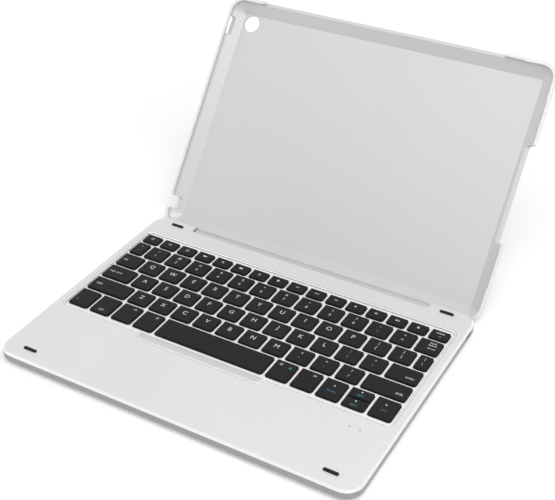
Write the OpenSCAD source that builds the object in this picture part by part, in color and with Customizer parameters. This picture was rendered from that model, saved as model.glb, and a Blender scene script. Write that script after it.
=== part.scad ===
// Keyboard case for a 9.7 inch tablet: a slim keyboard base with a hinged snap-in tray.
// Millimetres. X runs to the right, Y to the rear and Z up. The rubber feet stand on Z = 0.

/* [Base] */
// Overhang of the base beyond the closed tray at the sides and the front
base_margin = 0.1; // [0:0.05:1]
// Reach of the base from the rear bumper line to the rear edge
rear_reach = 6.5; // [6.4:0.05:6.9]
// Thickness of the base without its feet
base_thick = 7; // [7:0.05:7.6]
// Radius of the base corners in plan
base_corner = 11; // [8:0.5:16]
// Bright chamfer round the top edge
edge_chamfer = 1.3; // [0.8:0.1:1.5]
// Inward taper of the lower cover
cover_taper = 2.5; // [1.5:0.1:3]
// Height of the lower cover's rim
cover_rim = 1.5; // [1.4:0.05:1.6]
// Thickness of the lower cover's floor
cover_floor = 1.2; // [1:0.05:1.3]
// Wall of the upper shell
shell_wall = 1.6; // [1.4:0.05:1.8]
// Thickness of the upper shell's top plate
shell_top = 1.5; // [1.2:0.05:1.6]
// Height of the rubber feet below the cover
foot_height = 1.5; // [1.5:0.1:2.5]
// Radius of the rubber feet
foot_radius = 5; // [3.5:0.25:6]

// Distance of the feet from the base's sides
foot_inset = 18; // [14:0.5:24]

/* [Keys] */
// Depth of a letter key
key_depth = 13.4; // [12.8:0.1:13.8]
// Depth of a key in the row nearest the hinge
function_depth = 9.2; // [8:0.1:10]
// Gap between the keys in the row nearest the hinge
function_gap = 2.04; // [1.8:0.02:2.4]
// Depth of a key in the space bar's row
bottom_depth = 17; // [15:0.1:18]
// Gap between neighbouring keys
key_gap = 2.1; // [1.8:0.05:2.3]
// Gap between the two halves of the up and down arrow key
half_gap = 0.6; // [0.4:0.05:1]
// Distance of the key field from the base's sides
field_inset = 8.3; // [7.5:0.1:10]
// Width of the first key in the number row
grave_width = 9.9; // [8:0.1:12]
// Width of the last key in the number row
backspace_width = 15; // [13:0.1:18]
// Width of the tab key
tab_width = 16.2; // [14:0.1:18]
// Width of the caps lock key
caps_width = 21.4; // [19:0.1:22]
// Width of the left shift key
shift_width = 29.9; // [27:0.1:31]
// Radius of the key corners
key_corner = 1.8; // [1.2:0.1:2.4]
// Height of the key tops above the base's top plate
key_proud = 0.6; // [0.3:0.05:0.8]
// Height of a key from its skirt to its top
key_height = 1.7; // [1.6:0.05:1.9]
// Draw-in of a key's side from skirt to top
key_draft = 0.35; // [0.1:0.05:0.6]
// Travel of the keys
key_travel = 1.2; // [0.8:0.05:1.3]
// Clearance round a key in its window
key_clear = 0.35; // [0.25:0.05:0.45]

/* [Key well] */
// Distance from the rear bumper line to the well's rear edge
well_rear = 15.5; // [15:0.1:17]
// Depth of the well's floor below the top plate
well_sink = 0.8; // [0.6:0.05:1]
// Margin of the well beside the key field
well_side = 1.5; // [1.2:0.1:2]
// Margin of the well behind the first key row
well_back = 3.24; // [2:0.02:4]
// Margin of the well in front of the last key row
well_front = 2.4; // [1.5:0.1:3]
// Radius of the well's corners
well_corner = 3; // [1.5:0.1:4]
// Bright chamfer round the well
well_edge = 0.35; // [0.2:0.05:0.5]
// Length of the thumb scoop to the left of the space bar
scoop_lead = 6.1; // [3:0.1:9]
// Length of the thumb scoop to the right of the space bar
scoop_tail = 2.8; // [2:0.1:8]
// Reach of the thumb scoop towards the front
scoop_reach = 5.5; // [4:0.1:7]

/* [Hinge] */
// Angle of the tray from closed, as it stands open
open_angle = 127.7; // [126:0.1:128]
// Distance of the hinge line behind the rear bumper line
hinge_back = 3.75; // [3.7:0.01:3.8]
// Depth of the hinge line below the top plate
hinge_drop = 3.43; // [3.4:0.01:3.5]
// Width of the base's shoulders beside the hinge notch
shoulder_width = 32.4; // [28:0.1:36]
// Distance of the notch's front edge behind the bumper line
notch_front = -0.2; // [-0.6:0.05:0]
// Clearance of the hinge spine from the notch ends
spine_gap = 0.6; // [0.4:0.05:1]
// Radius of the hinge spine's barrel
barrel_radius = 2.9; // [2.5:0.05:2.95]
// Radius of the hinge pins
pin_radius = 1.5; // [1.2:0.05:1.6]
// Running clearance of the pins in their brackets
pin_clear = 0.05; // [0.03:0.01:0.08]
// Length of each hinge pin
pin_length = 20; // [17:0.5:22]
// Depth of each pin in the spine
pin_seat = 9; // [7:0.5:10]

/* [Tray] */
// Width of the tablet that the tray holds
tablet_width = 240; // [236:0.5:246]
// Height of the tablet that the tray holds
tablet_height = 169.5; // [166:0.5:172]
// Thickness of the tray's pocket
tray_pocket = 8; // [7:0.1:8.2]
// Clearance round the tablet in the tray
tray_fit = 0.1; // [0.05:0.05:0.3]
// Wall of the tray
tray_wall = 1.8; // [1.6:0.05:2]
// Thickness of the tray's back
tray_back = 1.4; // [1.2:0.05:1.8]
// Corner radius of the tray in plan
tray_corner = 11; // [9:0.5:14]
// Straight part of the tray's edge next to the rim
edge_straight = 0.5; // [0.4:0.05:0.6]
// Radius of the tray's rolled edge
edge_round = 5; // [4.9:0.05:5.1]
// Gap between the closed tray's rim and the base's top plate
closed_gap = 1.2; // [1.15:0.01:1.4]
// Overhang of the corner lips that hold the tablet
lip_over = 0.5; // [0.3:0.05:0.8]
// Thickness of the corner lips
lip_thick = 0.5; // [0.4:0.05:0.6]
// Length of the corner lips from each corner
lip_length = 24; // [16:1:30]
// Radius of the camera hole
camera_radius = 6; // [4:0.25:7]
// Distance of the camera hole from the tray's left edge
camera_side = 17; // [15:0.5:20]
// Distance of the camera hole from the tray's upper edge
camera_top = 16.3; // [14:0.1:20]

/* [Fittings] */
// Length of a rubber bumper
bumper_length = 9.5; // [8:0.1:11]
// Width of a rubber bumper
bumper_width = 2.2; // [1.8:0.1:2.4]
// Height of a bumper above the top plate
bumper_proud = 0.9; // [0.7:0.05:0.95]
// Distance of the bumpers from the base's sides
bumper_inset = 19.4; // [16:0.1:22]
// Distance of the front bumpers from the front edge
bumper_front = 9.8; // [8:0.1:14]
// Radius of an indicator lens
led_radius = 0.6; // [0.5:0.05:0.8]
// Distance of the first indicator from the right side
led_inset = 26.6; // [22:0.1:32]
// Step between the indicators
led_step = 6.6; // [5:0.1:8]
// Distance of the indicators in front of the key well
led_ahead = 11.4; // [9:0.1:16]
// Width of the charging inlet
port_width = 7.4; // [7:0.1:8]
// Height of the charging inlet
port_height = 2.6; // [2.3:0.05:2.7]
// Distance of the charging inlet in front of the bumper line
port_front = 11; // [10.5:0.1:11.5]
// Travel of the power slide
switch_travel = 2; // [1.5:0.1:2.5]
// Distance of the power slide's middle in front of the bumper line
switch_front = 24; // [20:0.5:30]

/* [Hidden] */
$fn = 64;
eps = 0.01;

// Heights of the base
z_cover = foot_height;
z_split = z_cover + cover_rim;
z_floor = z_cover + cover_floor;
z_top = z_cover + base_thick;
z_under = z_top - shell_top;

// Hinge and tray, given with the tray closed
hinge_z = z_top - hinge_drop;
z_rim = z_top + closed_gap;
arm_offset = 0.85;
tray_depth = tray_pocket + tray_back;
tray_width = tablet_width + 2 * (tray_fit + tray_wall);
tray_height = tablet_height + 2 * (tray_fit + tray_wall);
tray_rear = hinge_back + arm_offset;
tray_mid = tray_rear - tray_height / 2;

// Plan of the base, which the closed tray covers
base_width = tray_width + 2 * base_margin;
front_reach = tray_height - tray_rear + base_margin;
base_depth = front_reach + rear_reach;
base_mid = (rear_reach - front_reach) / 2;
notch_half = base_width / 2 - shoulder_width;
bumper_side = base_width / 2 - bumper_inset;
bumper_span = front_reach - bumper_front;
led_side = base_width / 2 - led_inset;

// Key field
field_half = base_width / 2 - field_inset;
field_width = 2 * field_half;
function_count = 16;
number_count = 12;
function_pitch = (field_width + function_gap) / function_count;
function_width = function_pitch - function_gap;
key_pitch = (field_width - grave_width - backspace_width - key_gap) / number_count;
key_width = key_pitch - key_gap;
upper_count = 12;
home_count = 11;
lower_count = 10;
y_function = -well_rear - well_back - function_depth / 2;
y_number = y_function - function_depth / 2 - key_gap - key_depth / 2;
y_upper = y_number - key_depth - key_gap;
y_home = y_upper - key_depth - key_gap;
y_lower = y_home - key_depth - key_gap;
y_bottom = y_lower - key_depth / 2 - key_gap - bottom_depth / 2;
half_depth = (bottom_depth - half_gap) / 2;
y_up = y_bottom + (half_depth + half_gap) / 2;
y_down = y_bottom - (half_depth + half_gap) / 2;
z_key_top = z_top + key_proud;
z_skirt = z_key_top - key_height;
key_top_wall = 0.9;
stem_radius = 2.2;

function left_x(i) = -field_half + key_width / 2 + i * key_pitch;
space_left = left_x(3) + key_width / 2 + key_gap;
space_end = -left_x(4) - key_width / 2 - key_gap;
space_x = (space_left + space_end) / 2;
space_width = space_end - space_left;

// Key well and what lies below it
well_width = field_width + 2 * well_side;
y_well_rear = -well_rear;
y_well_front = y_bottom - bottom_depth / 2 - well_front;
well_depth = y_well_rear - y_well_front;
led_front = led_ahead - y_well_front;
y_well_mid = (y_well_rear + y_well_front) / 2;
z_well = z_top - well_sink;
frame_fit = 0.15;
frame_flange = 1.5;
frame_rib = 1.3;
z_frame = z_under - 0.6;
plate_thick = 0.4;
sheet_thick = 0.3;
dome_gap = 0.25;
z_plate = z_skirt - key_travel - 2.0;
z_sheet = z_plate + plate_thick;
z_membrane = z_sheet + sheet_thick;
z_stem = z_skirt - 0.6;
z_dome = z_stem - dome_gap;

// Rolled edge of the tray, the hinge spine and its brackets
spine_half = notch_half - spine_gap;
roll_angle = 55;
roll_flats = 5;
bracket_gap = 0.4;
bracket_start = notch_half + shell_wall + bracket_gap;
bracket_end = spine_half - pin_seat + pin_length - 1;

// Reach of the open tray behind the hinge, which sets the middle of the whole part
roll_y = tray_height - (tray_rear - hinge_back) - edge_round;
roll_z = z_rim + edge_straight - hinge_z;
tray_reach = -roll_y * cos(open_angle) + roll_z * sin(open_angle) + edge_round;
y_middle = (front_reach - hinge_back - tray_reach) / 2;

// Colours
c_silver = [0.82, 0.83, 0.85];
c_cover = [0.74, 0.75, 0.77];
c_key = [0.05, 0.05, 0.055];
c_frame = [0.78, 0.79, 0.81];
c_rubber = [0.03, 0.03, 0.03];
c_steel = [0.62, 0.63, 0.65];
c_board = [0.05, 0.25, 0.12];
c_cell = [0.25, 0.26, 0.3];
c_lens = [0.75, 0.85, 1];

// Turns a section round the corners and runs it along the sides of a rounded slab
module lofted_slab(w, d, r) {
  for (sx = [-1, 1], sy = [-1, 1])
    translate([sx * (w / 2 - r), sy * (d / 2 - r), 0])
      rotate_extrude()
        intersection() {
          let ($half = r) children();
          translate([0, -50]) square([100, 100]);
        }
  rotate([90, 0, 90])
    translate([0, 0, -(w / 2 - r)])
      linear_extrude(w - 2 * r) let ($half = d / 2) children();
  rotate([90, 0, 0])
    translate([0, 0, -(d / 2 - r)])
      linear_extrude(d - 2 * r) let ($half = w / 2) children();
}

// A box on the XY plane, centred in X and Y, with round upright edges
module round_box(w, d, h, r) {
  translate([-w / 2 + r, -d / 2, 0]) cube([w - 2 * r, d, h]);
  translate([-w / 2, -d / 2 + r, 0]) cube([w, d - 2 * r, h]);
  for (sx = [-1, 1], sy = [-1, 1])
    translate([sx * (w / 2 - r), sy * (d / 2 - r), 0]) cylinder(r = r, h = h);
}

// A box from one corner to the other
module span(x0, x1, y0, y1, z0, z1) {
  translate([x0, y0, z0]) cube([x1 - x0, y1 - y0, z1 - z0]);
}

module mirror_x() {
  children();
  mirror([1, 0, 0]) children();
}

// Moves everything so that the open part stands over the middle of its box
module place() {
  translate([0, y_middle, 0]) children();
}

// Takes a body drawn closed to its open place about the hinge line
module swing() {
  translate([0, hinge_back, hinge_z])
    rotate([-open_angle, 0, 0])
      translate([0, -hinge_back, -hinge_z]) children();
}

// ---------------------------------------------------------------- base

module shell_section() {
  polygon([[-$half, z_split], [$half, z_split], [$half, z_top - edge_chamfer],
    [$half - edge_chamfer, z_top], [edge_chamfer - $half, z_top], [-$half, z_top - edge_chamfer]]);
}

module cover_section() {
  polygon([[cover_taper - $half, z_cover], [$half - cover_taper, z_cover],
    [$half, z_split], [-$half, z_split]]);
}

module notch_cut(wall) {
  span(-notch_half - wall, notch_half + wall, notch_front - wall, rear_reach + 5,
    z_cover - 5, z_top + 5);
}

module well_section() {
  polygon([[-$half, z_under - 1], [$half, z_under - 1], [$half, z_top - well_edge],
    [$half + well_edge + 1, z_top + 1], [-$half - well_edge - 1, z_top + 1], [-$half, z_top - well_edge]]);
}

// Chamfer along the front edge of the hinge notch
module notch_edge() {
  rotate([90, 0, 90]) translate([0, 0, -notch_half]) linear_extrude(2 * notch_half)
    polygon([[notch_front + 1, z_top + 1], [notch_front - well_edge - 1, z_top + 1],
      [notch_front + 1, z_top - well_edge - 1]]);
}

// Screws that hold the cover, on the right half: ahead of the hinge, beside the palm rest and in front
screw_post = 2.3;
screw_bore = 0.85;
screw_head = 1.6;
screw_edge = 9;
screw_side = field_inset + 2.6;
screw_sites = [[base_width / 2 - screw_side, 6 - y_well_front],
  [base_width / 2 - screw_side, front_reach - screw_edge],
  [shoulder_width + 1.6, front_reach - screw_edge],
  [notch_half - 25.6, well_rear / 2]];

scoop_left = space_left - scoop_lead;
scoop_right = space_end + scoop_tail;

module scoop_plan() {
  w = scoop_right - scoop_left;
  s = scoop_reach / 2;
  translate([(scoop_left + scoop_right) / 2, y_well_front]) {
    translate([-w / 2 + s, -scoop_reach]) square([w - 2 * s, scoop_reach + 1]);
    for (sx = [-1, 1]) {
      translate([sx * (w / 2 - s), -s]) circle(r = s);
      difference() {
        translate([sx > 0 ? w / 2 - s : -w / 2 - s, -s]) square([2 * s, s + 1]);
        translate([sx * (w / 2 + s), -s]) circle(r = s);
      }
    }
  }
}

module scoop_cut() {
  intersection() {
    translate([0, 0, z_under - 1]) linear_extrude(shell_top + 3) scoop_plan();
    rotate([90, 0, 90])
      translate([0, 0, scoop_left - 10])
        linear_extrude(scoop_right - scoop_left + 20)
          polygon([[y_well_front + 2, z_well], [y_well_front, z_well],
            [y_well_front - scoop_reach - 0.2, z_top + 0.02], [y_well_front - scoop_reach, z_top + 2],
            [y_well_front + 2, z_top + 2]]);
  }
}

module base_upper_shell() {
  color(c_silver) place() difference() {
    union() {
      difference() {
        translate([0, base_mid, 0]) lofted_slab(base_width, base_depth, base_corner) shell_section();
        difference() {
          translate([0, base_mid, z_split - 1])
            round_box(base_width - 2 * shell_wall, base_depth - 2 * shell_wall,
              z_under - z_split + 1, base_corner - shell_wall);
          notch_cut(shell_wall);
        }
      }
      mirror_x() for (s = screw_sites)
        translate([s[0], -s[1], z_floor]) cylinder(r = screw_post, h = z_under - z_floor + eps);
    }
    notch_cut(0);
    translate([0, y_well_mid, 0]) lofted_slab(well_width, well_depth, well_corner) well_section();
    notch_edge();
    scoop_cut();
    mirror_x() for (s = screw_sites)
      translate([s[0], -s[1], z_floor - 1]) cylinder(r = screw_bore, h = 4);
    // room for the pins and the hinge brackets
    mirror_x() translate([notch_half - 1, hinge_back, hinge_z])
      rotate([0, 90, 0]) cylinder(r = pin_radius + 0.3, h = shell_wall + 2);
    mirror_x() span(bracket_start - bracket_gap, bracket_end + 1, hinge_back - 3.5,
      rear_reach - 0.7, z_split - 1, z_under);
    // pockets of the bumpers
    for (sx = [-1, 1], y = [0, -bumper_span])
      translate([sx * bumper_side, y, z_top - 0.8])
        round_box(bumper_length, bumper_width, 2, bumper_width / 2 - eps);
    // indicator holes
    for (i = [0, 1]) translate([led_side + i * led_step, -led_front, z_under - 1])
      cylinder(r = led_radius + 0.03, h = 4);
    // charging inlet and power slide
    translate([base_width / 2 - shell_wall - 1, -port_front, z_port])
      rotate([0, 90, 0]) round_box(port_height + 0.3, port_width + 0.3, 5, (port_height + 0.3) / 2 - eps);
    translate([-base_width / 2 - 1, -switch_front, z_switch])
      rotate([0, 90, 0])
        round_box(slide_height + 0.4, slide_length + switch_travel + 0.6, 4, slide_height / 2);
  }
}

module base_lower_cover() {
  color(c_cover) place() difference() {
    union() {
      difference() {
        translate([0, base_mid, 0]) lofted_slab(base_width, base_depth, base_corner) cover_section();
        difference() {
          translate([0, base_mid, z_floor])
            round_box(base_width - 2 * shell_wall - 2 * cover_lip, base_depth - 2 * shell_wall - 2 * cover_lip,
              5, base_corner - shell_wall - cover_lip);
          notch_cut(shell_wall);
        }
      }
      // posts below the key plate
      for (i = [0 : 3], j = [0 : 2])
        translate([(i / 3 - 0.5) * (well_width - 2 * post_inset), y_well_mid + (j - 1) * (well_depth / 2 - post_front),
          z_floor - eps]) cylinder(r = post_radius, h = z_plate - z_floor + eps);
      // board rests
      for (x = board_rests)
        translate([x, board_y, z_floor - eps]) cylinder(r = 1.5, h = z_board - z_floor + eps);
      // rests of the hinge brackets
      mirror_x() span(bracket_start, bracket_end, hinge_back - 3, hinge_back + 0.2,
        z_floor - eps, z_split);
    }
    notch_cut(0);
    mirror_x() for (s = screw_sites) {
      translate([s[0], -s[1], z_cover - 1]) cylinder(r = screw_head + 0.1, h = 1.6);
      translate([s[0], -s[1], z_cover - 1]) cylinder(r = screw_bore + 0.05, h = 5);
    }
    for (p = foot_sites) translate([p[0], p[1], z_cover - 1]) cylinder(r = foot_plug + 0.05, h = 1 + foot_sink);
  }
}

cover_lip = 0.6;
post_inset = 31;
post_front = 22;
post_radius = 2;
foot_x = base_width / 2 - foot_inset;
foot_rear = 13;
foot_front = front_reach - 12.7;
foot_sites = [[-foot_x, -foot_rear], [foot_x, -foot_rear], [-foot_x, -foot_front], [foot_x, -foot_front]];
foot_plug = foot_radius - 0.6;
foot_sink = 0.4;

module rubber_feet() {
  color(c_rubber) place() for (p = foot_sites) translate([p[0], p[1], 0]) {
    rotate_extrude() polygon([[0, 0], [foot_radius - 0.3, 0], [foot_radius, 0.3],
      [foot_radius, foot_height], [foot_plug, foot_height],
      [foot_plug, foot_height + foot_sink], [0, foot_height + foot_sink]]);
  }
}

module cover_screws() {
  color(c_steel) place() mirror_x() for (s = screw_sites) translate([s[0], -s[1], z_cover])
    difference() {
      union() {
        cylinder(r = screw_head, h = 0.6);
        cylinder(r = screw_bore, h = 3.4);
      }
      translate([0, 0, -1]) for (a = [0, 90]) rotate([0, 0, a]) translate([-1, -0.2, 0]) cube([2, 0.4, 1.35]);
    }
}

module top_bumpers() {
  color(c_rubber) place() for (sx = [-1, 1], y = [0, -bumper_span])
    translate([sx * bumper_side, y, z_top - 0.8]) {
      round_box(bumper_length - 0.04, bumper_width - 0.04, 0.5 + bumper_proud, bumper_width / 2 - 0.04);
      translate([0, 0, 0.5 + bumper_proud])
        round_box(bumper_length - 0.6, bumper_width - 0.6, 0.3, bumper_width / 2 - 0.35);
    }
}

module led_lenses() {
  color(c_lens) place() for (i = [0, 1])
    translate([led_side + i * led_step, -led_front, z_under]) {
      cylinder(r = led_radius, h = shell_top + 0.05);
      translate([0, 0, -0.6]) cylinder(r = led_radius + 0.8, h = 0.6);
    }
}

module closing_magnets() {
  color(c_steel) place() mirror_x()
    translate([base_width / 2 - magnet_inset, -front_reach + magnet_front, z_under - magnet_thick])
      round_box(magnet_length, magnet_width, magnet_thick, 0.4);
}

magnet_inset = 38;
magnet_front = 6;
magnet_length = 12;
magnet_width = 3;
magnet_thick = 2;

// The two cells fill the left of the palm rest
cell_left = -base_width / 2 + 35;
cell_right = base_width / 2 - 115;
cell_gap = 2;
cell_rear = y_well_front - 13.4;
cell_front = -front_reach + 12;
cell_width = (cell_right - cell_left - cell_gap) / 2;
cell_height = z_under - z_floor - 0.6;

module battery_pack() {
  color(c_cell) place()
    for (x = [cell_left + cell_width / 2, cell_right - cell_width / 2])
      translate([x, (cell_rear + cell_front) / 2, z_floor])
        round_box(cell_width, cell_rear - cell_front, cell_height, 1.5);
}

// ---------------------------------------------------------------- electronics by the hinge

z_board = z_floor + 0.5;
board_thick = 0.8;
board_x1 = base_width / 2 - shell_wall - cover_lip - 0.5;
board_x0 = board_x1 - 45;
board_y = -port_front + 0.3;
board_width = 7;
board_rests = [board_x0 + 6, board_x0 + 25, board_x1 - 5];
z_port = z_board + board_thick + port_height / 2;
port_length = field_inset - well_side - frame_flange - 0.8;

module circuit_board() {
  color(c_board) place() {
    translate([0, board_y, z_board]) {
      span(board_x0, board_x1, -board_width / 2, board_width / 2, 0, board_thick);
      span(board_x0 + 4, board_x0 + 9, -2.5, 2.5, board_thick - eps, board_thick + 0.9);
      span(board_x0 + 13, board_x0 + 16, -1.5, 1.5, board_thick - eps, board_thick + 0.7);
      span(board_x0 + 20, board_x0 + 22, -2, 2, board_thick - eps, board_thick + 1.1);
    }
  }
}

module charging_port() {
  color(c_steel) place() translate([base_width / 2 - 0.5, -port_front, z_port])
    rotate([0, -90, 0]) difference() {
      round_box(port_height, port_width, port_length, port_height / 2 - eps);
      translate([0, 0, -1])
        round_box(port_height - 0.7, port_width - 0.7, port_length + 0.5, port_height / 2 - 0.36);
    }
  color(c_rubber) place() translate([base_width / 2 - 1.4, -port_front, z_port])
    rotate([0, -90, 0]) translate([-0.3, -port_width / 2 + 1.6, 0])
      cube([0.6, port_width - 3.2, port_length - 1.2]);
}

z_switch = (z_split + z_under) / 2 + 0.1;
slide_length = 4;
slide_height = 1.4;
slide_flange = 0.7;
guide_thick = 2.1;
x_switch = -base_width / 2 + shell_wall;

module power_slide() {
  color(c_rubber) place() translate([x_switch, -switch_front + switch_travel / 2, z_switch]) {
    translate([-shell_wall - 0.4, -slide_length / 2, -slide_height / 2])
      cube([shell_wall + 0.7, slide_length, slide_height]);
    translate([0.3, -slide_length / 2 - 1.8, -slide_height / 2 - 0.5])
      cube([slide_flange, slide_length + 3.6, slide_height + 1]);
    for (i = [-1, 0, 1]) translate([-shell_wall - 0.4, i * 1.1, -slide_height / 2])
      cylinder(r = 0.25, h = slide_height);
  }
}

module switch_guide() {
  color(c_rubber) place() translate([x_switch + 0.3 + slide_flange + 0.3, -switch_front, z_floor])
    difference() {
      union() {
        translate([0, -7, 0]) cube([guide_thick, 14, z_switch + 1.8 - z_floor]);
        for (s = [-1, 1]) translate([-slide_flange - 0.6, s > 0 ? 6 : -7, 0.4])
          cube([1 + slide_flange + 0.6, 1, z_switch + 1.8 - z_floor - 0.4]);
      }
      translate([0.5, -5, z_switch - z_floor - 0.6]) cube([1.2, 10, 1.2]);
    }
}

// ---------------------------------------------------------------- hinge

module hinge_brackets() {
  color(c_steel) place() mirror_x() difference() {
    span(bracket_start, bracket_end, hinge_back - 3, rear_reach - 0.7 - 0.05, z_split, z_under);
    translate([bracket_start - 1, hinge_back, hinge_z]) rotate([0, 90, 0])
      cylinder(r = pin_radius + pin_clear, h = bracket_end - bracket_start + 2);
  }
}

module hinge_pins() {
  color(c_steel) place() swing() mirror_x()
    translate([spine_half - pin_seat, hinge_back, hinge_z]) rotate([0, 90, 0]) {
      cylinder(r = pin_radius, h = pin_length - 0.4);
      translate([0, 0, pin_length - 0.4]) cylinder(r = pin_radius - 0.3, h = 0.4);
    }
}

module hinge_spine() {
  color(c_silver) place() swing() difference() {
    union() {
      translate([-spine_half, hinge_back, hinge_z]) rotate([0, 90, 0])
        cylinder(r = barrel_radius, h = 2 * spine_half);
      span(-spine_half, spine_half, tray_rear - tray_wall, tray_rear, hinge_z, z_rim);
    }
    mirror_x() translate([spine_half - pin_seat, hinge_back, hinge_z]) rotate([0, 90, 0])
      cylinder(r = pin_radius + 0.01, h = pin_seat + 1);
  }
}

// ---------------------------------------------------------------- tray

// Section of the tray's edge: an upright foot, a roll in short flats, then a bevel up to the back.
// The rim is at height 0 and the back at the given depth.
function tray_side(inset, depth, cx) =
  let (r = edge_round - inset, top = edge_straight + r * sin(roll_angle))
    concat([[cx + r, 0]],
      [for (a = [0 : roll_angle / roll_flats : roll_angle])
        [cx + r * cos(a), edge_straight + r * sin(a)]],
      [[cx + r * cos(roll_angle) - (depth - top) * tan(roll_angle), depth]]);

module tray_section(inset, depth) {
  side = tray_side(inset, depth, $half + inset - edge_round);
  n = len(side);
  polygon(concat(side, [for (i = [n - 1 : -1 : 0]) [-side[i][0], side[i][1]]]));
}

module tray_lips() {
  difference() {
    intersection() {
      round_box(tray_width - tray_wall, tray_height - tray_wall, lip_thick, tray_corner - tray_wall / 2);
      for (sx = [-1, 1], sy = [-1, 1])
        translate([sx * (tray_width / 2 - lip_length / 2), sy * (tray_height / 2 - lip_length / 2), -1])
          translate([-lip_length / 2, -lip_length / 2, 0]) cube([lip_length, lip_length, 5]);
    }
    translate([0, 0, -1])
      round_box(tray_width - 2 * tray_wall - 2 * lip_over, tray_height - 2 * tray_wall - 2 * lip_over,
        5, tray_corner - tray_wall - lip_over);
  }
}

// Openings in the tray's walls, measured along the tray from its lower inside edge
audio_low = 11;
audio_high = audio_low + 9;
speaker_span = 66;
speaker_low = (tablet_height - speaker_span) / 2;
speaker_high = speaker_low + speaker_span;
button_high = tablet_height - 12.5;
button_low = button_high - 14;
upper_left = tray_width / 2 - 27;
upper_right = tray_width / 2 - 37;
upper_cut = 2.6;
cut_floor = tray_pocket - 1.6;

module side_cut(side, v0, v1, z0, z1) {
  y0 = tray_rear - tray_wall;
  translate([side * tray_width / 2, y0 - (v0 + v1) / 2, (z0 + z1) / 2])
    rotate([0, 90, 0]) translate([0, 0, -10])
      round_box(z1 - z0, v1 - v0, 20, min(1.8, (z1 - z0) / 2 - eps));
}

module lid_shell() {
  color(c_silver) place() swing() difference() {
    union() {
      difference() {
        translate([0, tray_mid, z_rim]) lofted_slab(tray_width, tray_height, tray_corner)
          tray_section(0, tray_depth);
        translate([0, tray_mid, z_rim]) lofted_slab(tray_width - 2 * tray_wall,
          tray_height - 2 * tray_wall, tray_corner - tray_wall) tray_section(tray_wall, tray_pocket);
      }
      translate([0, tray_mid, z_rim]) tray_lips();
    }
    translate([0, 0, z_rim]) {
      side_cut(-1, audio_low, audio_high, -4, cut_floor);
      side_cut(1, speaker_low, speaker_high, -4, cut_floor);
      side_cut(-1, button_low, button_high, 1.6, 4.6);
      // the upper wall is low between its corners
      translate([0, tray_rear - tray_height, 0])
        span(-upper_left, upper_right, -2, tray_wall + edge_round, -1, upper_cut);
      // camera hole
      translate([-tray_width / 2 + camera_side, tray_rear - tray_height + camera_top, 0])
        cylinder(r = camera_radius, h = tray_depth + 1);
    }
  }
}

// ---------------------------------------------------------------- key well

// One window for each key, and one shared by the up and down arrows
function row_start(first) = -field_half + first + key_gap;
function row_end(first, n) = row_start(first) + n * key_pitch;

module frame_windows() {
  module hole(x, y, w, d) {
    translate([x, y, z_plate]) round_box(w + 2 * key_clear, d + 2 * key_clear, 10, key_corner + key_clear);
  }
  for (i = [0 : function_count - 1])
    hole(-field_half + function_width / 2 + i * function_pitch, y_function, function_width, function_depth);
  rows = [[grave_width, number_count, y_number], [tab_width, upper_count, y_upper],
    [caps_width, home_count, y_home], [shift_width, lower_count, y_lower]];
  for (r = rows) {
    hole(-field_half + r[0] / 2, r[2], r[0], key_depth);
    for (i = [0 : r[1] - 1])
      hole(row_start(r[0]) + key_width / 2 + i * key_pitch, r[2], key_width, key_depth);
    hole((row_end(r[0], r[1]) + field_half) / 2, r[2], field_half - row_end(r[0], r[1]), key_depth);
  }
  for (i = [0 : 3]) hole(left_x(i), y_bottom, key_width, bottom_depth);
  for (i = [0 : 4]) hole(-left_x(i), y_bottom, key_width, bottom_depth);
  hole(space_x, y_bottom, space_width, bottom_depth);
}

module keyboard_frame() {
  color(c_frame) place() difference() {
    union() {
      translate([0, y_well_mid, z_frame])
        round_box(well_width - 2 * frame_fit, well_depth - 2 * frame_fit, z_well - z_frame,
          well_corner - frame_fit);
      translate([0, y_well_mid, z_frame])
        round_box(well_width + 2 * frame_flange, well_depth + 2 * frame_flange, z_under - z_frame, 1);
      difference() {
        translate([0, y_well_mid, z_sheet])
          round_box(well_width + 2 * frame_flange, well_depth + 2 * frame_flange, z_frame - z_sheet + eps, 1);
        translate([0, y_well_mid, z_sheet - 1])
          round_box(well_width + 2 * frame_flange - 2 * frame_rib,
            well_depth + 2 * frame_flange - 2 * frame_rib, 10, 0.5);
      }
    }
    frame_windows();
  }
}

module key_backplate() {
  color(c_steel) place() translate([0, y_well_mid, z_plate])
    round_box(well_width + 2 * frame_flange, well_depth + 2 * frame_flange, plate_thick, 1);
}

module dome_sheet() {
  color([0.85, 0.85, 0.82]) place() {
    translate([0, y_well_mid, z_sheet])
      round_box(well_width + 2 * frame_flange - 2 * frame_rib - 0.4,
        well_depth + 2 * frame_flange - 2 * frame_rib - 0.4, sheet_thick, 0.5);
    for (p = key_centres) translate([p[0], p[1], z_membrane - eps])
      cylinder(r1 = 2.7, r2 = 1.5, h = z_dome - z_membrane + eps);
  }
}

key_centres = concat(
  [for (i = [0 : function_count - 1]) [-field_half + function_width / 2 + i * function_pitch, y_function]],
  [for (r = [[grave_width, number_count, y_number], [tab_width, upper_count, y_upper],
    [caps_width, home_count, y_home], [shift_width, lower_count, y_lower]])
      for (i = [0 : r[1] - 1]) [row_start(r[0]) + key_width / 2 + i * key_pitch, r[2]]],
  [for (r = [[grave_width, y_number], [tab_width, y_upper], [caps_width, y_home], [shift_width, y_lower]])
    [-field_half + r[0] / 2, r[1]]],
  [for (r = [[grave_width, number_count, y_number], [tab_width, upper_count, y_upper],
    [caps_width, home_count, y_home], [shift_width, lower_count, y_lower]])
      [(row_end(r[0], r[1]) + field_half) / 2, r[2]]],
  [for (i = [0 : 3]) [left_x(i), y_bottom]], [for (i = [0, 2, 3, 4]) [-left_x(i), y_bottom]],
  [[-left_x(1), y_up], [-left_x(1), y_down], [space_x, y_bottom]]);
// ---------------------------------------------------------------- keys

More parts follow.
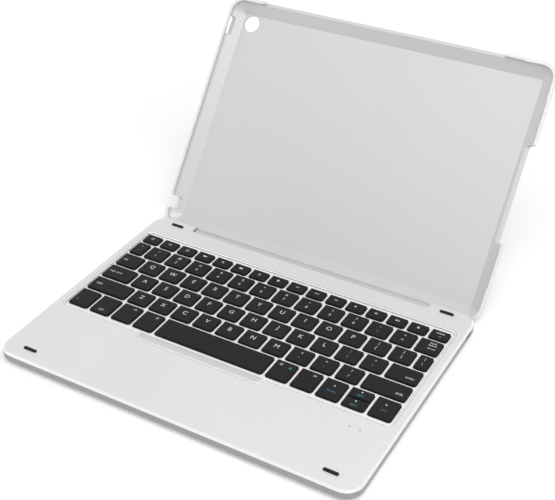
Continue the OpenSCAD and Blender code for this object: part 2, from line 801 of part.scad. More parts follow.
// Section across a key: sides that draw in to a small rolled edge
module key_profile(w) {
  polygon([[-w / 2, 0], [w / 2, 0], [w / 2 - key_draft, key_height - 0.2],
    [w / 2 - key_draft - 0.2, key_height], [0.2 + key_draft - w / 2, key_height],
    [key_draft - w / 2, key_height - 0.2]]);
}

module key_cap(x, y, w, d) {
  translate([x, y, z_skirt]) {
    difference() {
      intersection() {
        round_box(w, d, key_height, key_corner);
        rotate([90, 0, 0]) translate([0, 0, -d / 2 - 1]) linear_extrude(d + 2) key_profile(w);
        rotate([90, 0, 90]) translate([0, 0, -w / 2 - 1]) linear_extrude(w + 2) key_profile(d);
      }
      translate([-w / 2 + 1.1, -d / 2 + 1.1, -1]) cube([w - 2.2, d - 2.2, key_height - key_top_wall + 1]);
    }
    translate([0, 0, -0.6]) cylinder(r = stem_radius, h = key_height - key_top_wall + 0.6 + eps);
  }
}

module key_row(first, n, y) {
  color(c_key) place() for (i = [0 : n - 1])
    key_cap(row_start(first) + key_width / 2 + i * key_pitch, y, key_width, key_depth);
}

module left_key(w, y) {
  color(c_key) place() key_cap(-field_half + w / 2, y, w, key_depth);
}

module right_key(first, n, y) {
  w = field_half - row_end(first, n);
  color(c_key) place() key_cap(field_half - w / 2, y, w, key_depth);
}

module bottom_key(x) {
  color(c_key) place() key_cap(x, y_bottom, key_width, bottom_depth);
}

module function_keys() {
  color(c_key) place() for (i = [0 : function_count - 1])
    key_cap(-field_half + function_width / 2 + i * function_pitch, y_function, function_width, function_depth);
}

module number_keys() { key_row(grave_width, number_count, y_number); }
module upper_letter_keys() { key_row(tab_width, upper_count, y_upper); }
module home_letter_keys() { key_row(caps_width, home_count, y_home); }
module lower_letter_keys() { key_row(shift_width, lower_count, y_lower); }
module grave_key() { left_key(grave_width, y_number); }
module tab_key() { left_key(tab_width, y_upper); }
module caps_key() { left_key(caps_width, y_home); }
module left_shift_key() { left_key(shift_width, y_lower); }
module backspace_key() { right_key(grave_width, number_count, y_number); }
module backslash_key() { right_key(tab_width, upper_count, y_upper); }
module enter_key() { right_key(caps_width, home_count, y_home); }
module right_shift_key() { right_key(shift_width, lower_count, y_lower); }
module fn_key() { bottom_key(left_x(0)); }
module ctrl_key() { bottom_key(left_x(1)); }
module left_alt_key() { bottom_key(left_x(2)); }
module left_meta_key() { bottom_key(left_x(3)); }
module right_meta_key() { bottom_key(-left_x(4)); }
module right_alt_key() { bottom_key(-left_x(3)); }
module left_arrow_key() { bottom_key(-left_x(2)); }
module right_arrow_key() { bottom_key(-left_x(0)); }

module space_key() {
  color(c_key) place() key_cap(space_x, y_bottom, space_width, bottom_depth);
}

module up_arrow_key() {
  color(c_key) place() key_cap(-left_x(1), y_up, key_width, half_depth);
}

module down_arrow_key() {
  color(c_key) place() key_cap(-left_x(1), y_down, key_width, half_depth);
}

base_upper_shell();
base_lower_cover();
keyboard_frame();
key_backplate();
dome_sheet();
battery_pack();
circuit_board();
charging_port();
switch_guide();
led_lenses();
top_bumpers();
rubber_feet();
cover_screws();
hinge_brackets();
closing_magnets();
power_slide();
lid_shell();
hinge_spine();
hinge_pins();
function_keys();
number_keys();
upper_letter_keys();
home_letter_keys();
lower_letter_keys();
grave_key();
backspace_key();
tab_key();
backslash_key();
caps_key();
enter_key();
left_shift_key();
right_shift_key();
fn_key();
ctrl_key();
left_alt_key();
left_meta_key();
space_key();
right_meta_key();
right_alt_key();
left_arrow_key();
up_arrow_key();
down_arrow_key();
right_arrow_key();
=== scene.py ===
"""Looks of the tablet keyboard case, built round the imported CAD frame. Metres."""

import math

import bmesh
import bpy
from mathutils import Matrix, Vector


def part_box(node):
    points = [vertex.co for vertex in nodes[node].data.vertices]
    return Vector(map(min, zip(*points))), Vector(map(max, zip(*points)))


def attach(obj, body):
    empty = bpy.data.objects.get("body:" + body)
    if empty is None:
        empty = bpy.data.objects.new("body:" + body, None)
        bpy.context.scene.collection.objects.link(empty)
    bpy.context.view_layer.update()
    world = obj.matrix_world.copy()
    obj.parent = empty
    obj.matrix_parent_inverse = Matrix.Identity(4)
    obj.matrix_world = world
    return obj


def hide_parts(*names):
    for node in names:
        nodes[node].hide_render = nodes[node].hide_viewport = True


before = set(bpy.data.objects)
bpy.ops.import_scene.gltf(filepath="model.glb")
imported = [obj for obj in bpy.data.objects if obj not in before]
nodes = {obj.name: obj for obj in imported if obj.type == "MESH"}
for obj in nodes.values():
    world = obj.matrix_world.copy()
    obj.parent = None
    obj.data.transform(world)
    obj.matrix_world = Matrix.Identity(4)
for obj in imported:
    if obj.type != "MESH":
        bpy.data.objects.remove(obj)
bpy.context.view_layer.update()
MM = 0.001


def add_object(name, data):
    """A new object with that data, in the scene."""
    made = bpy.data.objects.new(name, data)
    bpy.context.scene.collection.objects.link(made)
    return made


def aim(thing, direction):
    """Turns a camera or a lamp so that it looks in that direction."""
    thing.rotation_euler = Vector(direction).to_track_quat("-Z", "Y").to_euler()


# ------------------------------------------------------------------ camera
# Solved from the photograph, in a frame with its origin on the base's top, in the line of the rear bumpers.
CAMERA_PLACE = Vector((284.73, -534.53, 424.06)) * MM
CAMERA_TURN = -0.5194  # radians from straight back towards the right
CAMERA_DIP = 0.5954  # radians below level
CAMERA_LENS = 71.35  # focal length in mm, for a sensor 36 mm wide
SENSOR_WIDTH = 36
FRONT_REACH = 168.8 * MM  # from the rear bumpers' line to the base's front edge


def add_camera():
    """The photograph's own view."""
    lo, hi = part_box("base_upper_shell")
    data = bpy.data.cameras.new("camera")
    data.sensor_width = SENSOR_WIDTH
    data.lens = CAMERA_LENS
    data.clip_start = 0.01
    data.clip_end = 50
    camera = add_object("camera", data)
    camera.location = CAMERA_PLACE + Vector((0, lo[1] + FRONT_REACH, hi[2]))
    level = math.cos(CAMERA_DIP)
    aim(camera, (math.sin(CAMERA_TURN) * level, math.cos(CAMERA_TURN) * level, -math.sin(CAMERA_DIP)))
    bpy.context.scene.camera = camera


add_camera()

# ------------------------------------------------------------------ node helpers
MIX_FIRST = 6  # the sockets that a Mix node has for colours
MIX_SECOND = 7
MIX_RESULT = 2


def rgba(colour):
    """Four channels of a colour given as three, or as one number for a grey."""
    return (*colour, 1) if isinstance(colour, tuple) else (colour, colour, colour, 1)


def new_material(name):
    """A material with one Principled shader: gives the material, its node tree and the shader."""
    material = bpy.data.materials.new(name)
    material.use_nodes = True
    tree = material.node_tree
    tree.nodes.clear()
    output = tree.nodes.new("ShaderNodeOutputMaterial")
    shader = tree.nodes.new("ShaderNodeBsdfPrincipled")
    tree.links.new(shader.outputs["BSDF"], output.inputs["Surface"])
    return material, tree, shader


def place(tree, stretch=(1, 1, 1)):
    """The point of the surface, in the object's own frame."""
    texture = tree.nodes.new("ShaderNodeTexCoord")
    mapping = tree.nodes.new("ShaderNodeMapping")
    mapping.inputs["Scale"].default_value = stretch
    tree.links.new(texture.outputs["Object"], mapping.inputs["Vector"])
    return mapping.outputs["Vector"]


def noise(tree, point, scale, detail, roughness):
    """Noise from 0 to 1; the scale is in bumps to the metre."""
    node = tree.nodes.new("ShaderNodeTexNoise")
    node.inputs["Scale"].default_value = scale
    node.inputs["Detail"].default_value = detail
    node.inputs["Roughness"].default_value = roughness
    tree.links.new(point, node.inputs["Vector"])
    return node.outputs["Fac"]


def maths(tree, operation, *values):
    """A Math node whose inputs are linked, or set where the value is a plain number."""
    node = tree.nodes.new("ShaderNodeMath")
    node.operation = operation
    for value, socket in zip(values, node.inputs):
        if isinstance(value, bpy.types.NodeSocket):
            tree.links.new(value, socket)
        else:
            socket.default_value = value
    return node.outputs[0]


def ramp(tree, factor, stops):
    """Turns a factor into colours or grey levels, by stops of (factor, colour)."""
    node = tree.nodes.new("ShaderNodeValToRGB")
    elements = node.color_ramp.elements
    while len(elements) < len(stops):
        elements.new(0.5)
    for element, (position, colour) in zip(elements, stops):
        element.position = position
        element.color = rgba(colour)
    tree.links.new(factor, node.inputs["Fac"])
    return node.outputs["Color"]


def blend(tree, factor, first, second):
    """A linked colour that changes to a plain one as the factor rises."""
    node = tree.nodes.new("ShaderNodeMix")
    node.data_type = "RGBA"
    tree.links.new(factor, node.inputs["Factor"])
    tree.links.new(first, node.inputs[MIX_FIRST])
    node.inputs[MIX_SECOND].default_value = rgba(second)
    return node.outputs[MIX_RESULT]


def rescale(tree, value, limits, results=(0.0, 1.0)):
    """A Map Range node from one pair of limits to another."""
    node = tree.nodes.new("ShaderNodeMapRange")
    node.inputs["From Min"].default_value = limits[0]
    node.inputs["From Max"].default_value = limits[1]
    node.inputs["To Min"].default_value = results[0]
    node.inputs["To Max"].default_value = results[1]
    tree.links.new(value, node.inputs["Value"])
    return node


def bump(tree, shader, height, strength, distance):
    """Lets a height factor tilt the shader's normal."""
    node = tree.nodes.new("ShaderNodeBump")
    node.inputs["Strength"].default_value = strength
    node.inputs["Distance"].default_value = distance
    tree.links.new(height, node.inputs["Height"])
    tree.links.new(node.outputs["Normal"], shader.inputs["Normal"])


def grain(tree, point, scale, share, patches, patch_detail):
    """Fine grain, and a tone in which a share of that grain lies over broad patches."""
    fine = noise(tree, point, scale, detail=4, roughness=0.6)
    broad = noise(tree, point, patches, patch_detail, roughness=0.55)
    return fine, maths(tree, "MULTIPLY_ADD", fine, share, broad)


# ------------------------------------------------------------------ kinds of material
TONE_START = 0.35  # up to this level of its grain a surface has its dark tone
GLOSS_START = 0.3  # and up to this one its lower roughness
BLASTED_GRAIN = 1400
BLASTED_METALLIC = 0.35
BLASTED_ROUGHNESS = 0.5

# by how far a face of the base looks up, from 0 on a wall to 1 on the level top
# the cut edges: a lower roughness, and a painted highlight in a brighter colour
EDGE_GLOSS_AND_HIGHLIGHT_STOPS = ((0.53, 0.0), (0.55, 1.0), (0.9, 1.0), (0.92, 0.0))
# painted shade: full on the walls, a quarter of it on the gentle slopes of the thumb scoop
PAINTED_SHADE_STOPS = ((0.3, 1.0), (0.4, 0.0), (0.94, 0.0), (0.96, 0.25), (0.992, 0.25), (0.999, 0.0))
BASE_ROUGHNESS = 0.52
EDGE_ROUGHNESS = 0.22

OPEN_ANGLE = math.radians(127.7)  # of the tray, as it stands at rest
TRAY_NORMAL = Vector((0.0, -math.sin(OPEN_ANGLE), -math.cos(OPEN_ANGLE)))  # out of its open side
RIM_LEVEL = max(vertex.co.dot(TRAY_NORMAL) for vertex in nodes["lid_shell"].data.vertices)
LIP_START = RIM_LEVEL - 0.5 * MM
LIP_FULL = RIM_LEVEL - 0.2 * MM


def grained(name, dark, light, rough, metallic=0.0, scale=900, strength=0.15, distance=0.04 * MM,
            specular=0.5, stretch=(1, 1, 1), coat=0.0):
    """A moulded or blasted surface: fine grain, and broad, faint changes of tone and gloss."""
    material, tree, shader = new_material(name)
    fine, tone = grain(tree, place(tree, stretch), scale, share=0.45, patches=14, patch_detail=2)
    colour = ramp(tree, tone, ((TONE_START, dark), (1.0, light)))
    roughness = ramp(tree, tone, ((GLOSS_START, rough[0]), (1.0, rough[1])))
    tree.links.new(colour, shader.inputs["Base Color"])
    tree.links.new(roughness, shader.inputs["Roughness"])
    shader.inputs["Metallic"].default_value = metallic
    shader.inputs["Specular IOR Level"].default_value = specular
    shader.inputs["Coat Weight"].default_value = coat
    bump(tree, shader, fine, strength, distance)
    return material


def blasted(name, dark, light, share, patches, patch_detail):
    """Finely blasted metal whose colour is not linked yet: gives its parts and that colour."""
    material, tree, shader = new_material(name)
    fine, tone = grain(tree, place(tree), BLASTED_GRAIN, share, patches, patch_detail)
    shader.inputs["Metallic"].default_value = BLASTED_METALLIC
    shader.inputs["Roughness"].default_value = BLASTED_ROUGHNESS
    bump(tree, shader, fine, strength=0.12, distance=0.03 * MM)
    return material, tree, shader, ramp(tree, tone, ((TONE_START, dark), (1.0, light)))


def edge_lit_wall_shaded(name, dark, light, edge, side):
    """Blasted metal with smooth cut edges painted bright as a highlight, and walls and the scoop's slopes
    painted darker as shade, told apart by how far they look up.
    """
    material, tree, shader, face = blasted(name, dark, light, share=0.4, patches=9, patch_detail=2)
    geometry = tree.nodes.new("ShaderNodeNewGeometry")
    axes = tree.nodes.new("ShaderNodeSeparateXYZ")
    tree.links.new(geometry.outputs["True Normal"], axes.inputs[0])
    edge_gloss_and_highlight = ramp(tree, axes.outputs["Z"], EDGE_GLOSS_AND_HIGHLIGHT_STOPS)
    painted_shade = ramp(tree, axes.outputs["Z"], PAINTED_SHADE_STOPS)
    # walls and scoop slopes take the painted shade colour, the cut edges the painted highlight colour
    colour = blend(tree, edge_gloss_and_highlight, blend(tree, painted_shade, face, side), edge)
    roughness = maths(tree, "MULTIPLY_ADD", edge_gloss_and_highlight, EDGE_ROUGHNESS - BASE_ROUGHNESS, BASE_ROUGHNESS)
    tree.links.new(colour, shader.inputs["Base Color"])
    tree.links.new(roughness, shader.inputs["Roughness"])
    return material


def lip_highlighted(name, dark, light, lip_highlight):
    """Blasted metal with its lip painted bright as a highlight: the last half millimetre of the tray's wall,
    on its open side.
    """
    material, tree, shader, face = blasted(name, dark, light, share=0.5, patches=5, patch_detail=1)
    along = tree.nodes.new("ShaderNodeVectorMath")
    along.operation = "DOT_PRODUCT"
    along.inputs[1].default_value = TRAY_NORMAL
    tree.links.new(place(tree), along.inputs[0])
    lip_highlight_mask = rescale(tree, along.outputs["Value"], (LIP_START, LIP_FULL)).outputs["Result"]
    tree.links.new(blend(tree, lip_highlight_mask, face, lip_highlight), shader.inputs["Base Color"])
    return material


# ------------------------------------------------------------------ materials
BRUSHED_ALONG_X = (0.05, 1, 1)
TURNED_ALONG_X = (0.1, 1, 1)

# edge is the painted highlight of the base's cut edges, side the painted shade of its walls
silver = edge_lit_wall_shaded("silver_shell", dark=0.735, light=0.785, edge=0.93, side=0.38)
# the lip's colour is a painted highlight
tray_metal = lip_highlighted("tray_shell", dark=0.62, light=0.67, lip_highlight=0.80)
cover = grained("silver_cover", 0.64, 0.70, rough=(0.45, 0.55), metallic=0.3, scale=1200, strength=0.2)
deck = grained("silver_frame", 0.86, 0.93, rough=(0.42, 0.52), metallic=0.3, scale=1300)
spine = grained("spine_metal", 0.50, 0.57, rough=(0.34, 0.44), metallic=0.5, strength=0.1,
                stretch=BRUSHED_ALONG_X)
# the trim round the key well: raised and glossier, and painted brighter as a highlight
trim_highlight = grained("bright_trim", 0.88, 0.93, rough=(0.2, 0.28), metallic=0.5, strength=0.05)
# painted shadow, for the thin dark line round the key well
painted_shadow = grained("seam_line", 0.26, 0.32, rough=(0.5, 0.6), strength=0.05)

key_black = grained("key_black", (0.007, 0.007, 0.0075), (0.016, 0.016, 0.017), rough=(0.42, 0.56),
                    scale=1500, strength=0.35, distance=0.05 * MM, specular=0.14)
legend_white = grained("legend_print", 0.66, 0.76, rough=(0.5, 0.6), scale=3000, strength=0.1)
legend_blue = grained("legend_blue", (0.03, 0.17, 0.27), (0.05, 0.24, 0.36), rough=(0.5, 0.6),
                      scale=3000, strength=0.1)

rubber = grained("black_rubber", 0.006, 0.014, rough=(0.6, 0.75), scale=1800, strength=0.3, specular=0.3)
black = grained("black_plastic", 0.01, 0.022, rough=(0.4, 0.5), scale=1200, strength=0.2, specular=0.4)
dome = grained("dome_rubber", (0.70, 0.70, 0.66), (0.80, 0.80, 0.76), rough=(0.45, 0.55), scale=700,
               strength=0.2)
steel = grained("steel", (0.42, 0.43, 0.44), (0.60, 0.61, 0.62), rough=(0.25, 0.4), metallic=1.0,
                stretch=TURNED_ALONG_X)
port = grained("port_steel", (0.02, 0.02, 0.021), (0.05, 0.05, 0.052), rough=(0.3, 0.4), metallic=0.6,
               strength=0.1)
nickel = grained("magnet", (0.6, 0.6, 0.6), (0.72, 0.72, 0.71), rough=(0.12, 0.2), metallic=1.0,
                 strength=0.05)
cell = grained("cell_wrap", (0.20, 0.21, 0.23), (0.30, 0.31, 0.33), rough=(0.35, 0.5), metallic=0.4,
               scale=300, strength=0.3)
board = grained("board_green", (0.02, 0.12, 0.05), (0.04, 0.20, 0.08), rough=(0.3, 0.45), scale=800,
                strength=0.3)
lens = grained("lens_clear", (0.35, 0.38, 0.42), (0.45, 0.48, 0.52), rough=(0.08, 0.15), strength=0.05,
               coat=0.5)

# every node that isn't here is a key
FINISH = {
    "base_upper_shell": silver,
    "base_lower_cover": cover,
    "keyboard_frame": deck,
    "key_backplate": steel,
    "dome_sheet": dome,
    "battery_pack": cell,
    "circuit_board": board,
    "charging_port": port,
    "switch_guide": black,
    "power_slide": black,
    "led_lenses": lens,
    "top_bumpers": rubber,
    "rubber_feet": rubber,
    "cover_screws": steel,
    "hinge_brackets": steel,
    "hinge_pins": steel,
    "closing_magnets": nickel,
    "lid_shell": tray_metal,
    "hinge_spine": spine,
}


def dress(node, material):
    """Gives the whole node one material."""
    if not node.material_slots:
        node.data.materials.append(material)
    for holder in node.material_slots:
        holder.material = material


for node_name, node in nodes.items():
    dress(node, FINISH.get(node_name, key_black))

# ------------------------------------------------------------------ smooth rounded edges
SOFT_ANGLE = math.radians(24)  # faces that meet at less than this are shaded as one curve
WELD = 0.001 * MM  # points nearer than this become one


def smoothed(node, body, material):
    """The CAD node's own shape, with its rounded edges shaded smooth and its flat faces kept flat."""
    mesh = nodes[node].data.copy()
    shape = bmesh.new()
    shape.from_mesh(mesh)
    bmesh.ops.remove_doubles(shape, verts=shape.verts, dist=WELD)
    for face in shape.faces:
        face.smooth = True
    for edge in shape.edges:
        edge.smooth = len(edge.link_faces) == 2 and edge.calc_face_angle(math.pi) < SOFT_ANGLE
    shape.to_mesh(mesh)
    shape.free()
    mesh.materials.clear()
    mesh.materials.append(material)
    piece = add_object(node + "_smooth", mesh)
    piece.matrix_world = nodes[node].matrix_world
    even = piece.modifiers.new("even", "WEIGHTED_NORMAL")
    even.keep_sharp = True
    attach(piece, body)
    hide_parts(node)


smoothed("lid_shell", "lid", tray_metal)
smoothed("base_upper_shell", "base", silver)
smoothed("hinge_spine", "lid", spine)

# ------------------------------------------------------------------ trim round the key well
FRAME_FLANGE = 1.5 * MM  # how far the frame under the keys reaches past the well's edge
WELL_TURN = 3.0 * MM  # radius of the well's corners
SCOOP_LEAD = 6.1 * MM  # the thumb scoop's length past the space bar's left end
SCOOP_TAIL = 2.8 * MM  # and past its right end
SCOOP_REACH = 5.5 * MM  # from the well's front line towards the typist
ARC_STEPS = 8
# the lip, raised and painted bright as a highlight, and the thin dark line outside it, a flat strip of
# painted shadow; each point is a distance out from the well's edge and a height above the base's top
LIP_PROFILE = (
    (0.38 * MM, -0.04 * MM),
    (0.55 * MM, 0.14 * MM),
    (0.95 * MM, 0.14 * MM),
    (1.15 * MM, -0.04 * MM),
)
# a flat strip just above the base's top, painted dark as the shadow line outside the lip
SHADOW_LINE_PROFILE = (
    (1.18 * MM, -0.04 * MM),
    (1.18 * MM, 0.012 * MM),
    (1.46 * MM, 0.012 * MM),
    (1.46 * MM, -0.04 * MM),
)


def arc(x, y, radius, start, end, side=1):
    """Points of the edge as (x, y, outward x, outward y); on side -1 outward is towards the arc's centre."""
    points = []
    for i in range(ARC_STEPS + 1):
        angle = math.radians(start + (end - start) * i / ARC_STEPS)
        across = math.cos(angle)
        up = math.sin(angle)
        points.append((x + radius * across, y + radius * up, side * across, side * up))
    return points


def well_edge():
    """The well's edge, counter-clockwise from its front right corner, with the scoop in its front line."""
    frame_low, frame_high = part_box("keyboard_frame")
    space_low, space_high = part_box("space_key")
    left = frame_low[0] + FRAME_FLANGE + WELL_TURN
    right = frame_high[0] - FRAME_FLANGE - WELL_TURN
    front = frame_low[1] + FRAME_FLANGE
    rear = frame_high[1] - FRAME_FLANGE - WELL_TURN
    scoop_left = space_low[0] - SCOOP_LEAD
    scoop_right = space_high[0] + SCOOP_TAIL
    bend = SCOOP_REACH / 2
    return (
        arc(right, front + WELL_TURN, WELL_TURN, -90, 0)
        + arc(right, rear, WELL_TURN, 0, 90)
        + arc(left, rear, WELL_TURN, 90, 180)
        + arc(left, front + WELL_TURN, WELL_TURN, 180, 270)
        + arc(scoop_left - bend, front - bend, bend, 90, 0, side=-1)
        + arc(scoop_left + bend, front - bend, bend, 180, 270)
        + arc(scoop_right - bend, front - bend, bend, 270, 360)
        + arc(scoop_right + bend, front - bend, bend, 180, 90, side=-1)
    )


def round_the_well(name, profile, material):
    """A closed strip of that profile that runs along the well's edge."""
    edge = well_edge()
    rails = len(profile)
    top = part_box("base_upper_shell")[1][2]
    points = [(x + out_x * out, y + out_y * out, top + height)
              for x, y, out_x, out_y in edge for out, height in profile]
    faces = []
    for i in range(len(edge)):
        here = i * rails
        ahead = (i + 1) % len(edge) * rails
        for rail in range(rails):
            after = (rail + 1) % rails
            faces.append((here + rail, here + after, ahead + after, ahead + rail))
    mesh = bpy.data.meshes.new(name)
    mesh.from_pydata(points, [], faces)
    mesh.materials.append(material)
    shape = bmesh.new()
    shape.from_mesh(mesh)
    bmesh.ops.recalc_face_normals(shape, faces=shape.faces)
    shape.to_mesh(mesh)
    shape.free()
    piece = add_object(name, mesh)
    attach(piece, "base")


round_the_well("well_lip", LIP_PROFILE, trim_highlight)
round_the_well("well_seam", SHADOW_LINE_PROFILE, painted_shadow)

# ------------------------------------------------------------------ printed marks
LIFT = 0.03 * MM  # of a print above its key
FONT_STEPS = 3  # to each bend of a letter


class Prints:
    """Flat printed marks of one colour that ride one body."""

    def __init__(self):
        self.points = []
        self.faces = []

    def text(self, words, size, x, y, z):
        """Words in Blender's own font, with the middle of their outline at that point."""
        curve = bpy.data.curves.new("words", "FONT")
        curve.body = words
        curve.size = size
        curve.align_x = "CENTER"
        curve.align_y = "CENTER"
        curve.resolution_u = FONT_STEPS
        writing = add_object("words", curve)
        bpy.context.view_layer.update()
        mesh = bpy.data.meshes.new_from_object(writing)
        xs = [vertex.co.x for vertex in mesh.vertices]
        ys = [vertex.co.y for vertex in mesh.vertices]
        middle = Vector(((min(xs) + max(xs)) / 2, (min(ys) + max(ys)) / 2, 0))
        shift = Vector((x, y, z)) - middle
        first = len(self.points)
        self.points += [vertex.co + shift for vertex in mesh.vertices]
        self.faces += [[first + i for i in face.vertices] for face in mesh.polygons]
        bpy.data.objects.remove(writing)
        bpy.data.curves.remove(curve)
        bpy.data.meshes.remove(mesh)

    def stamp(self, polygons, x, y, z):
        """Polygons whose points are measured from that point."""
        for polygon in polygons:
            first = len(self.points)
            self.points += [Vector((x + across, y + up, z)) for across, up in polygon]
            self.faces.append(list(range(first, first + len(polygon))))

    def make(self, name, body, material):
        """The piece that holds all the marks."""
        mesh = bpy.data.meshes.new(name)
        mesh.from_pydata([tuple(point) for point in self.points], [], self.faces)
        mesh.materials.append(material)
        piece = add_object(name, mesh)
        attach(piece, body)


# ------------------------------------------------------------------ shapes of the marks, as lists of polygons
def bar(width, height, at=(0, 0)):
    """A rectangle with its middle at that point."""
    left = at[0] - width / 2
    right = at[0] + width / 2
    low = at[1] - height / 2
    high = at[1] + height / 2
    return [[(left, low), (right, low), (right, high), (left, high)]]


def ring(radius, width, steps=20, start=0.0, end=2 * math.pi, at=(0, 0)):
    """A flat band along an arc from one angle to the other, in quads."""
    quads = []
    inside = radius - width
    for i in range(steps):
        a = start + (end - start) * i / steps
        b = start + (end - start) * (i + 1) / steps
        corners = ((radius, a), (radius, b), (inside, b), (inside, a))
        quads.append([(at[0] + r * math.cos(angle), at[1] + r * math.sin(angle)) for r, angle in corners])
    return quads


def triangle(way, size, at=(0, 0)):
    """An arrowhead that points left, right, up or down."""
    angle = {"right": 0, "up": math.pi / 2, "left": math.pi, "down": -math.pi / 2}[way]
    across = math.cos(angle)
    up = math.sin(angle)
    corners = ((-0.55 * size, 0.6 * size), (-0.55 * size, -0.6 * size), (0.6 * size, 0))
    return [[(at[0] + x * across - y * up, at[1] + x * up + y * across) for x, y in corners]]


# ------------------------------------------------------------------ icons of the function row
ICON = 1.15 * MM  # half the size of an icon
STROKE = 0.3 * MM


def power_icon():
    """An open ring with a stroke in its gap."""
    opened = ring(ICON, STROKE, 16, math.radians(130), math.radians(410))
    return opened + bar(STROKE, ICON, at=(0, 0.8 * ICON))


def sun_icon(radius):
    """A ring with dots round it."""
    dots = 8
    dot = 0.24 * MM
    reach = 1.25 * ICON
    shapes = ring(radius, 0.28 * MM)
    for i in range(dots):
        angle = 2 * math.pi * i / dots
        shapes += bar(dot, dot, at=(reach * math.cos(angle), reach * math.sin(angle)))
    return shapes


def tiles_icon():
    """Three upright tiles."""
    shapes = []
    for i in (-1, 0, 1):
        shapes += bar(0.8 * MM, 1.3 * MM, at=(i * 1.1 * MM, 0))
    return shapes


def search_icon():
    """A magnifying glass with a short handle."""
    glass = ring(0.8 * ICON, STROKE, at=(-0.2 * MM, 0.2 * MM))
    return glass + bar(0.5 * MM, 0.5 * MM, at=(0.8 * MM, -0.8 * MM))


def play_icon():
    """An arrowhead and two strokes, for play and pause."""
    strokes = bar(STROKE, 1.4 * MM, at=(0.7 * MM, 0)) + bar(STROKE, 1.4 * MM, at=(1.3 * MM, 0))
    return triangle("right", 0.9 * ICON, at=(-0.6 * MM, 0)) + strokes


def skip_icon(way, first, second):
    """Two arrowheads one after the other."""
    return triangle(way, 0.8 * ICON, at=(first, 0)) + triangle(way, 0.8 * ICON, at=(second, 0))


def speaker_icon(waves):
    """A loudspeaker with that many waves ahead of it."""
    shapes = [[(-1.3 * MM, -0.4 * MM), (-0.7 * MM, -0.4 * MM), (0, -1.0 * MM),
               (0, 1.0 * MM), (-0.7 * MM, 0.4 * MM), (-1.3 * MM, 0.4 * MM)]]
    for i in range(waves):
        shapes += ring((0.8 + 0.55 * i) * MM, 0.25 * MM, 8, -0.8, 0.8, at=(0.1 * MM, 0))
    return shapes


def lock_icon():
    """A closed padlock."""
    shackle = ring(0.7 * MM, 0.25 * MM, 10, 0, math.pi, at=(0, 0.3 * MM))
    return bar(1.6 * MM, 1.1 * MM, at=(0, -0.3 * MM)) + shackle


# from the left; the sixteenth key has a word instead
FUNCTION_ICONS = (
    power_icon(),
    sun_icon(0.65 * ICON),
    sun_icon(0.85 * ICON),
    tiles_icon(),
    search_icon(),
    bar(2.4 * MM, 1.5 * MM),
    ring(0.8 * ICON, STROKE),
    [[(-ICON, 0), (0, -ICON), (ICON, 0), (0, ICON)]],
    skip_icon("left", -0.6 * MM, 0.7 * MM),
    play_icon(),
    skip_icon("right", -0.7 * MM, 0.6 * MM),
    speaker_icon(0),
    speaker_icon(1),
    speaker_icon(2),
    lock_icon(),
)

# ------------------------------------------------------------------ legends of the key banks
KEY_WIDTH = 14.6 * MM
FUNCTION_KEY_WIDTH = 12.3 * MM
LETTER_SIZE = 4.8 * MM
SIGN_SIZE = 3.0 * MM  # of a shifted sign
DIGIT_SIZE = 3.3 * MM
PLAIN_SIGN_SIZE = 3.2 * MM
# how far a mark's middle lies behind the middle of its key, or in front of it if negative
ICON_BEHIND = 0.4 * MM
LETTER_BEHIND = 0.8 * MM
SHIFTED_BEHIND = 2.7 * MM
PLAIN_BEHIND = -2.0 * MM
DELETE_SIZE = 2.3 * MM
DELETE_BEHIND = 1.6 * MM
BLUE_MARK_BEHIND = -1.6 * MM
BLUE_MARK_ASIDE = 0.9 * MM
# letters, then pairs of a shifted and a plain sign
LETTER_ROWS = {
    "upper_letter_keys": ("QWERTYUIOP", ("{[", "}]")),
    "home_letter_keys": ("ASDFGHJKL", (":;", "\"'")),
    "lower_letter_keys": ("ZXCVBNM", ("<,", ">.", "?/")),
}


def bank_places(node, count, key_width):
    """The x of each of a bank's keys, with the y and z of its prints."""
    lo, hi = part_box(node)
    first = lo[0] + key_width / 2
    last = hi[0] - key_width / 2
    xs = [first + (last - first) * i / (count - 1) for i in range(count)]
    return xs, (lo[1] + hi[1]) / 2, hi[2] + LIFT


def sign_pair(prints, shifted, plain, plain_size, x, y, z):
    """A key's shifted sign behind its plain one."""
    prints.text(shifted, SIGN_SIZE, x, y + SHIFTED_BEHIND, z)
    prints.text(plain, plain_size, x, y + PLAIN_BEHIND, z)


def function_row():
    """Icons, and on the last key a word with a blue mark."""
    xs, y, z = bank_places("function_keys", len(FUNCTION_ICONS) + 1, FUNCTION_KEY_WIDTH)
    white = Prints()
    for x, icon in zip(xs, FUNCTION_ICONS):
        white.stamp(icon, x, y + ICON_BEHIND, z)
    white.text("delete", DELETE_SIZE, xs[-1], y + DELETE_BEHIND, z)
    white.make("function_legends", "function_keys", legend_white)
    blue = Prints()
    blue.stamp(bar(1.4 * MM, 1.0 * MM), xs[-1] + BLUE_MARK_ASIDE, y + BLUE_MARK_BEHIND, z)
    blue.make("function_blue_mark", "function_keys", legend_blue)


def number_row():
    """Each digit with its shifted sign."""
    digits = "1234567890-="
    xs, y, z = bank_places("number_keys", len(digits), KEY_WIDTH)
    prints = Prints()
    for x, digit, sign in zip(xs, digits, "!@#$%^&*()_+"):
        sign_pair(prints, sign, digit, DIGIT_SIZE, x, y, z)
    prints.make("number_legends", "number_keys", legend_white)


def letter_row(node, letters, signs):
    """Letters, then the pairs of signs on the row's last keys."""
    xs, y, z = bank_places(node, len(letters) + len(signs), KEY_WIDTH)
    prints = Prints()
    for x, letter in zip(xs, letters):
        prints.text(letter, LETTER_SIZE, x, y + LETTER_BEHIND, z)
    for x, (shifted, plain) in zip(xs[len(letters):], signs):
        sign_pair(prints, shifted, plain, PLAIN_SIGN_SIZE, x, y, z)
    prints.make(node.replace("keys", "legends"), node, legend_white)


function_row()
number_row()
for node_name, (letters, signs) in LETTER_ROWS.items():
    letter_row(node_name, letters, signs)

